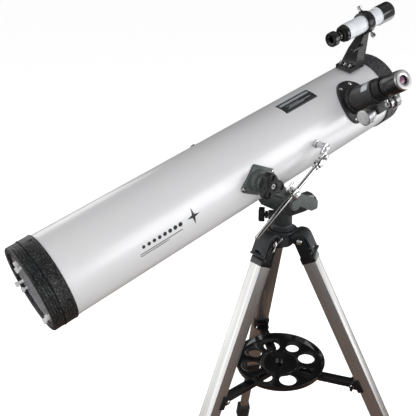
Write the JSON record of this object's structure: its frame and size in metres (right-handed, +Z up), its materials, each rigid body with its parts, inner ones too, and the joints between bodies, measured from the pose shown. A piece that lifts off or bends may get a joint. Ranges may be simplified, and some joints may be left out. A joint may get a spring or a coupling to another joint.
{
  "type": "telescope on tripod",
  "caption": "Reflector telescope with finder and side focuser on a slanted altitude-azimuth fork, on a folding aluminium tripod with a round accessory tray.",
  "frame": {"origin": "on the floor at the centre of the object's box; the azimuth axis stands at x 0.1114, y -0.0062", "axes": "+Z up, +X the way the tube points at rest, seen from above; the focuser is on the -Y side"},
  "size_m": [0.6263, 0.6043, 0.9823],
  "materials": {
    "tube_paint": "pearl silver-white gloss paint",
    "black_plastic": "fine-textured black moulding",
    "gloss_black": "gloss",
    "grey_casting": "matte grey-green paint on a casting",
    "dark_casting": "matte dark grey paint on a casting",
    "chrome": "bright plated",
    "aluminium": "satin extruded",
    "finder_white": "gloss white",
    "rubber": "matte",
    "mirror": "front-silvered",
    "coated_glass": "coated optical glass"
  },
  "bodies": {
    "tripod": {"tripod_head": "dark_casting", "azimuth_post": "dark_casting", "leg_pivot_bolt_left": "chrome", "leg_pivot_bolt_right": "chrome", "leg_pivot_bolt_back": "chrome"},
    "leg_left": {"leg_bracket_left": "black_plastic", "leg_upper_left": "aluminium", "leg_collar_left": "black_plastic", "spreader_clamp_left": "black_plastic"},
    "thumbscrew_left": {"leg_thumbscrew_left": "black_plastic"},
    "lower_leg_left": {"leg_lower_left": "aluminium", "foot_left": "rubber"},
    "arm_left": {"spreader_arm_left": "black_plastic"},
    "leg_right": {"leg_bracket_right": "black_plastic", "leg_upper_right": "aluminium", "leg_collar_right": "black_plastic", "spreader_clamp_right": "black_plastic"},
    "thumbscrew_right": {"leg_thumbscrew_right": "black_plastic"},
    "lower_leg_right": {"leg_lower_right": "aluminium", "foot_right": "rubber"},
    "arm_right": {"spreader_arm_right": "black_plastic"},
    "leg_back": {"leg_bracket_back": "black_plastic", "leg_upper_back": "aluminium", "leg_collar_back": "black_plastic", "spreader_clamp_back": "black_plastic"},
    "thumbscrew_back": {"leg_thumbscrew_back": "black_plastic"},
    "lower_leg_back": {"leg_lower_back": "aluminium", "foot_back": "rubber"},
    "arm_back": {"spreader_arm_back": "black_plastic"},
    "tray": {"tray": "gloss_black", "tray_hub": "black_plastic", "tray_bolt": "gloss_black"},
    "fork": {"fork": "grey_casting"},
    "azimuth_knob": {"azimuth_knob": "black_plastic"},
    "tube": {"optical_tube": "tube_paint", "front_ring": "black_plastic", "rear_ring": "black_plastic", "mirror_cell": "black_plastic", "primary_mirror": "mirror", "secondary_spider": "black_plastic", "secondary_mirror": "mirror", "trunnion_plate_near": "dark_casting", "trunnion_plate_far": "dark_casting", "rod_bracket": "chrome", "focuser_body": "black_plastic", "finder_bracket": "black_plastic", "finder_tube": "finder_white", "finder_objective": "coated_glass"},
    "altitude_knob_near": {"altitude_knob_near": "black_plastic"},
    "altitude_knob_far": {"altitude_knob_far": "black_plastic"},
    "rod": {"altitude_rod": "chrome"},
    "rod_clamp": {"rod_clamp": "chrome", "rod_thumbscrew": "chrome"},
    "drawtube": {"drawtube": "black_plastic"},
    "eyepiece": {"eyepiece_barrel": "black_plastic", "eyepiece_lens": "coated_glass"},
    "pinion": {"pinion_shaft": "chrome", "focus_knob_near": "aluminium", "focus_knob_far": "aluminium"},
    "finder_eyepiece": {"finder_eyepiece": "gloss_black"}
  },
  "joints": [
    {"name": "leg_fold_left", "type": "hinge", "parent": "tripod", "child": "leg_left", "pos_m": [0.08122, -0.00736, 0.64], "axis": [0.0384, -0.9993, 0], "range_deg": [0, 5]},
    {"name": "arm_fold_left", "type": "hinge", "parent": "leg_left", "child": "arm_left", "pos_m": [-0.01495, -0.01105, 0.3875], "axis": [0.0384, -0.9993, 0], "range_deg": [0, 31.5]},
    {"name": "leg_extension_left", "type": "slide", "parent": "leg_left", "child": "lower_leg_left", "axis": [-0.424, -0.0163, -0.9055], "range_m": [0, 0.3]},
    {"name": "thumbscrew_turn_left", "type": "hinge", "parent": "leg_left", "child": "thumbscrew_left", "pos_m": [-0.1366, -0.01573, 0.222], "axis": [-0.9048, -0.0348, 0.4244], "continuous": true},
    {"name": "leg_fold_right", "type": "hinge", "parent": "tripod", "child": "leg_right", "pos_m": [0.12749, -0.03176, 0.64], "axis": [0.8462, 0.5329, 0], "range_deg": [0, 5.2]},
    {"name": "arm_fold_right", "type": "hinge", "parent": "leg_right", "child": "arm_right", "pos_m": [0.17878, -0.1132, 0.3875], "axis": [0.8462, 0.5329, 0], "range_deg": [0, 31.5]},
    {"name": "leg_extension_right", "type": "slide", "parent": "leg_right", "child": "lower_leg_right", "axis": [0.2261, -0.3591, -0.9055], "range_m": [0, 0.3]},
    {"name": "thumbscrew_turn_right", "type": "hinge", "parent": "leg_right", "child": "thumbscrew_right", "pos_m": [0.24365, -0.21621, 0.222], "axis": [0.4825, -0.7662, 0.4244], "continuous": true},
    {"name": "leg_fold_back", "type": "hinge", "parent": "tripod", "child": "leg_back", "pos_m": [0.12548, 0.02051, 0.64], "axis": [-0.8846, 0.4664, 0], "range_deg": [0, 5.2]},
    {"name": "arm_fold_back", "type": "hinge", "parent": "leg_back", "child": "arm_back", "pos_m": [0.17037, 0.10565, 0.3875], "axis": [-0.8846, 0.4664, 0], "range_deg": [0, 31.5]},
    {"name": "leg_extension_back", "type": "slide", "parent": "leg_back", "child": "lower_leg_back", "axis": [0.1979, 0.3754, -0.9055], "range_m": [0, 0.3]},
    {"name": "thumbscrew_turn_back", "type": "hinge", "parent": "leg_back", "child": "thumbscrew_back", "pos_m": [0.22715, 0.21334, 0.222], "axis": [0.4223, 0.801, 0.4244], "continuous": true},
    {"name": "tray_lift", "type": "slide", "parent": "tripod", "child": "tray", "axis": [0, 0, 1], "range_m": [0, 0.0558]},
    {"name": "azimuth", "type": "hinge", "parent": "tripod", "child": "fork", "pos_m": [0.1114, -0.0062, 0.675], "axis": [0, 0, 1], "continuous": true},
    {"name": "azimuth_knob_turn", "type": "hinge", "parent": "fork", "child": "azimuth_knob", "pos_m": [0.09019, 0.01501, 0.6758], "axis": [-0.7071, 0.7071, 0], "continuous": true},
    {"name": "altitude", "type": "hinge", "parent": "fork", "child": "tube", "pos_m": [0.0105, -0.0062, 0.7721], "axis": [0, -1, 0], "range_deg": [-10, 40]},
    {"name": "altitude_knob_turn_near", "type": "hinge", "parent": "tube", "child": "altitude_knob_near", "pos_m": [0.0105, -0.0912, 0.7721], "axis": [0, -1, 0], "continuous": true},
    {"name": "altitude_knob_turn_far", "type": "hinge", "parent": "tube", "child": "altitude_knob_far", "pos_m": [0.0105, 0.0788, 0.7721], "axis": [0, 1, 0], "continuous": true},
    {"name": "rod_swing", "type": "hinge", "parent": "tube", "child": "rod", "pos_m": [0.1108, -0.0867, 0.7899], "axis": [0, -1, 0], "range_deg": [-2.08, 5.31]},
    {"name": "rod_slide", "type": "slide", "parent": "rod", "child": "rod_clamp", "axis": [-0.8128, 0, -0.5825], "range_m": [-0.0091, 0.0333]},
    {"name": "focus_travel", "type": "slide", "parent": "tube", "child": "drawtube", "axis": [-0.1167, -0.891, 0.4387], "range_m": [0, 0.04]},
    {"name": "pinion_turn", "type": "hinge", "parent": "tube", "child": "pinion", "pos_m": [0.2035, -0.10174, 0.84595], "axis": [0.9664, 0, 0.2571], "range_deg": [-2, 290]},
    {"name": "eyepiece_slide", "type": "slide", "parent": "drawtube", "child": "eyepiece", "axis": [-0.1167, -0.891, 0.4387], "range_m": [0, 0.02]},
    {"name": "finder_focus", "type": "slide", "parent": "tube", "child": "finder_eyepiece", "axis": [-0.9664, 0, -0.2571], "range_m": [0, 0.004]}
  ],
  "couplings": [
    {"joint": "arm_fold_left", "follows": "leg_fold_left", "ratio": 6.08},
    {"joint": "leg_fold_right", "follows": "leg_fold_left", "ratio": 1},
    {"joint": "arm_fold_right", "follows": "leg_fold_left", "ratio": 6.08},
    {"joint": "leg_fold_back", "follows": "leg_fold_left", "ratio": 1},
    {"joint": "arm_fold_back", "follows": "leg_fold_left", "ratio": 6.08},
    {"joint": "tray_lift", "follows": "leg_fold_left", "m_per_rad": 0.63},
    {"joint": "rod_swing", "follows": "altitude", "ratio": 0.1078},
    {"joint": "rod_slide", "follows": "altitude", "m_per_rad": 0.04624},
    {"joint": "pinion_turn", "follows": "focus_travel", "rad_per_m": 125}
  ]
}
